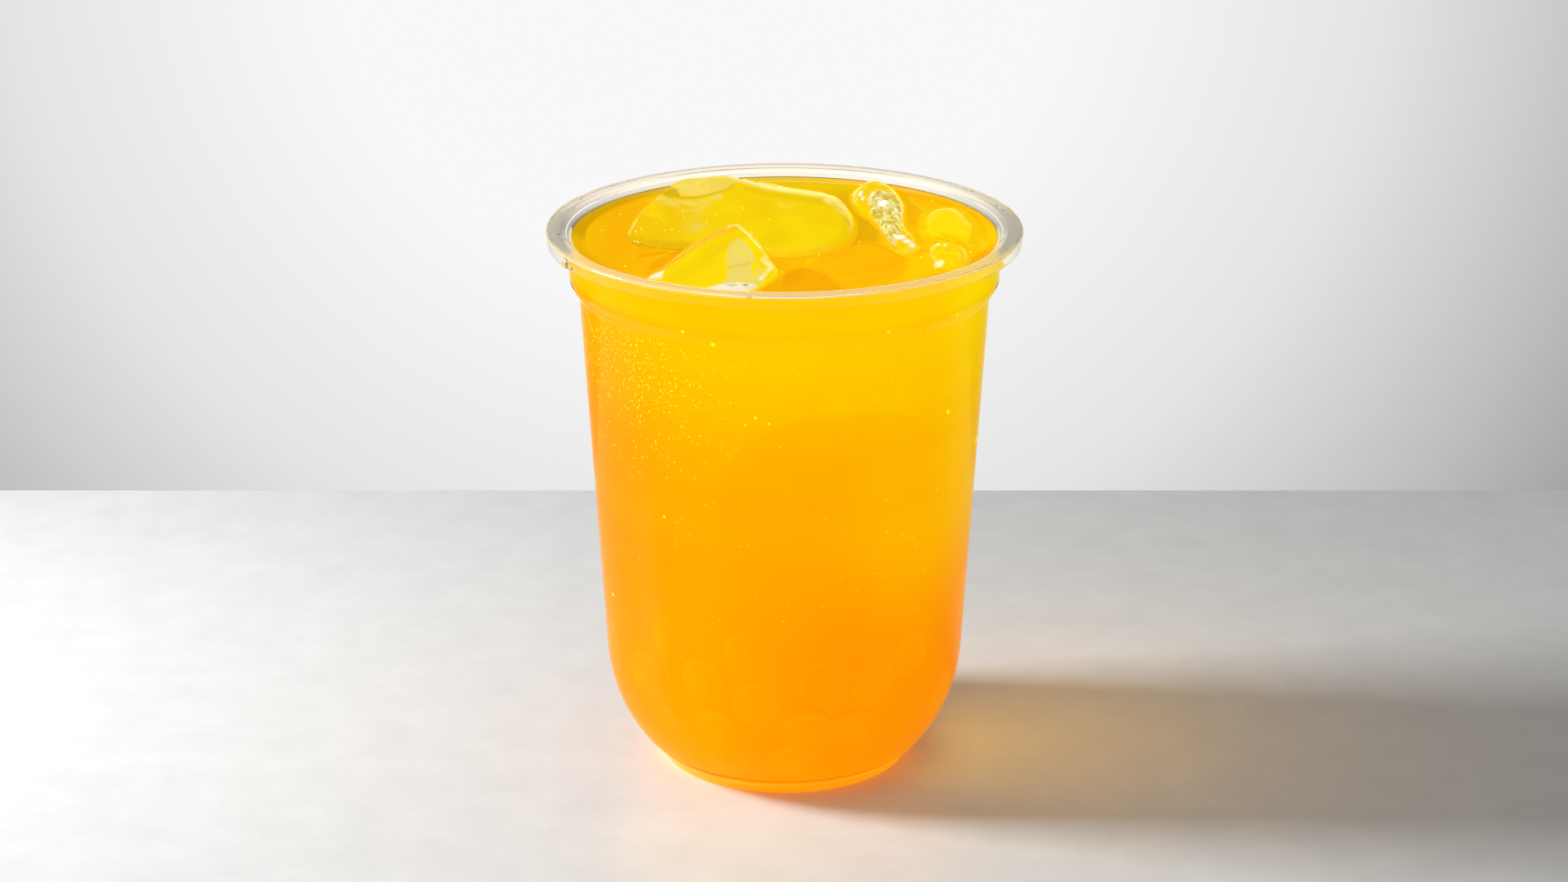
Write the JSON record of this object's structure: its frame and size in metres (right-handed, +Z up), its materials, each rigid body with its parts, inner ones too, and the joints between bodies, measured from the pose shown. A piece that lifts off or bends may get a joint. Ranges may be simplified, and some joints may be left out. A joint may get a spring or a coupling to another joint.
{
  "type": "bubble tea",
  "caption": "Iced orange fruit bubble tea filled almost to the brim of a clear round-bottomed takeaway cup with a flat flange rim, lumps of ice floating in its surface.",
  "frame": {"origin": "on the cup's axis, in the plane its foot ring stands on, which is the bottom centre of its bounding box", "axes": "+Z up along the cup's axis; -Y towards the viewer of the picture; +X to the right in the picture"},
  "size_m": [0.095, 0.095, 0.1124],
  "materials": {
    "cup_clear": "clear glossy moulded polypropylene, faintly milky, bright lines along its edges",
    "drink": null,
    "ice": "clear wet ice, tinted yellow by the drink round it"
  },
  "bodies": {
    "root": {"cup": "cup_clear", "drink": "drink", "ice_1": "ice", "ice_2": "ice", "ice_3": "ice", "ice_4": "ice", "ice_5": "ice", "ice_6": "ice"}
  },
  "joints": []
}
